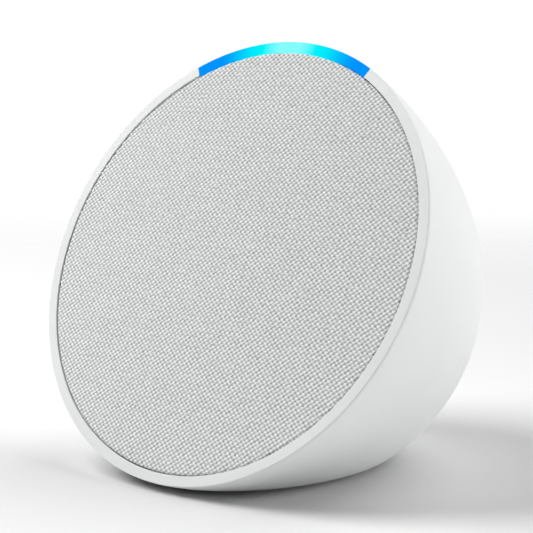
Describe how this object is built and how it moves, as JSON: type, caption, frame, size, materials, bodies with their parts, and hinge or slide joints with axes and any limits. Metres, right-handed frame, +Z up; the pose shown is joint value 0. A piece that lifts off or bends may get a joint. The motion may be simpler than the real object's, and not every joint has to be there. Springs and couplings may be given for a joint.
{
  "type": "smart speaker",
  "caption": "Small round-faced voice speaker: cloth front leaning back, half-egg shell, light bar along the top of the rim, three push keys and a rear power inlet.",
  "frame": {"origin": "on the surface that it stands on, under the middle of its length and width", "axes": "+Z up, -Y the way the face looks, +X to the right of someone facing the cloth"},
  "size_m": [0.099, 0.083, 0.0909],
  "materials": {
    "white_plastic": "fine moulded texture, satin",
    "rim_plastic": "smooth satin",
    "key_plastic": "smooth satin",
    "light_diffuser": "frosted diffuser, lit",
    "clear_plastic": "polished",
    "grille_cloth": "plain woven, two tones of light grey",
    "black_plastic": "moulded",
    "foam": "open cell",
    "grey_rubber": "matt",
    "black_rubber": "matt",
    "paper_cone": "pressed pulp",
    "spider_cloth": "resin-dipped cloth",
    "copper": "drawn",
    "steel": "plated",
    "ferrite": "ground",
    "aluminium": "rolled",
    "circuit_board": "solder mask",
    "flat_cable": "polyimide film",
    "led": "clear over phosphor"
  },
  "bodies": {
    "housing": {"rear_shell": "white_plastic", "front_bezel": "rim_plastic", "base_foot": "grey_rubber", "grille_fabric": "grille_cloth", "grille_plate": "black_plastic", "light_bar": "light_diffuser", "light_guide": "clear_plastic", "led_board": "circuit_board", "led_1": "led", "led_2": "led", "led_3": "led", "led_4": "led", "front_baffle": "black_plastic", "chamber_seal": "foam", "speaker_box": "black_plastic", "case_screw_1": "steel", "case_screw_2": "steel", "case_screw_3": "steel", "driver_screw_1": "steel", "driver_screw_2": "steel", "driver_screw_3": "steel", "driver_screw_4": "steel", "driver_gasket": "foam", "driver_basket": "steel", "driver_surround": "black_rubber", "driver_spider": "spider_cloth", "driver_top_plate": "steel", "driver_magnet": "ferrite", "driver_yoke": "steel", "driver_terminals": "copper", "speaker_lead": "black_rubber", "volume_down_switch": "black_plastic", "mic_off_switch": "black_plastic", "volume_up_switch": "black_plastic", "button_bracket": "black_plastic", "button_board": "circuit_board", "microphone_left": "aluminium", "microphone_boot_left": "black_rubber", "microphone_right": "aluminium", "microphone_boot_right": "black_rubber", "button_ribbon": "flat_cable", "main_board": "circuit_board", "shield_can": "steel", "heat_spreader": "aluminium", "power_connector": "black_plastic", "board_screw_left": "steel", "board_screw_right": "steel", "power_inlet": "black_plastic", "inlet_pin": "steel", "power_lead": "black_rubber"},
    "volume_down_button": {"volume_down_key": "key_plastic", "volume_down_plunger": "black_plastic"},
    "mic_off_button": {"mic_off_key": "key_plastic", "mic_off_plunger": "black_plastic"},
    "volume_up_button": {"volume_up_key": "key_plastic", "volume_up_plunger": "black_plastic"},
    "cone_assembly": {"driver_cone": "paper_cone", "driver_dust_cap": "paper_cone", "voice_coil_former": "aluminium", "voice_coil_winding": "copper"}
  },
  "joints": [
    {"name": "volume_down_press", "type": "slide", "parent": "housing", "child": "volume_down_button", "axis": [0.2756, -0.4214, -0.864], "range_m": [0, 0.00035], "stiffness_N_per_m": 900, "springref_m": -0.0002},
    {"name": "mic_off_press", "type": "slide", "parent": "housing", "child": "mic_off_button", "axis": [0, -0.4384, -0.8988], "range_m": [0, 0.00035], "stiffness_N_per_m": 900, "springref_m": -0.0002},
    {"name": "volume_up_press", "type": "slide", "parent": "housing", "child": "volume_up_button", "axis": [-0.2756, -0.4214, -0.864], "range_m": [0, 0.00035], "stiffness_N_per_m": 900, "springref_m": -0.0002},
    {"name": "cone_stroke", "type": "slide", "parent": "housing", "child": "cone_assembly", "axis": [0, -0.8988, 0.4384], "range_m": [-0.0018, 0.0018], "stiffness_N_per_m": 1500, "deforming": ["driver_surround", "driver_spider"]}
  ]
}
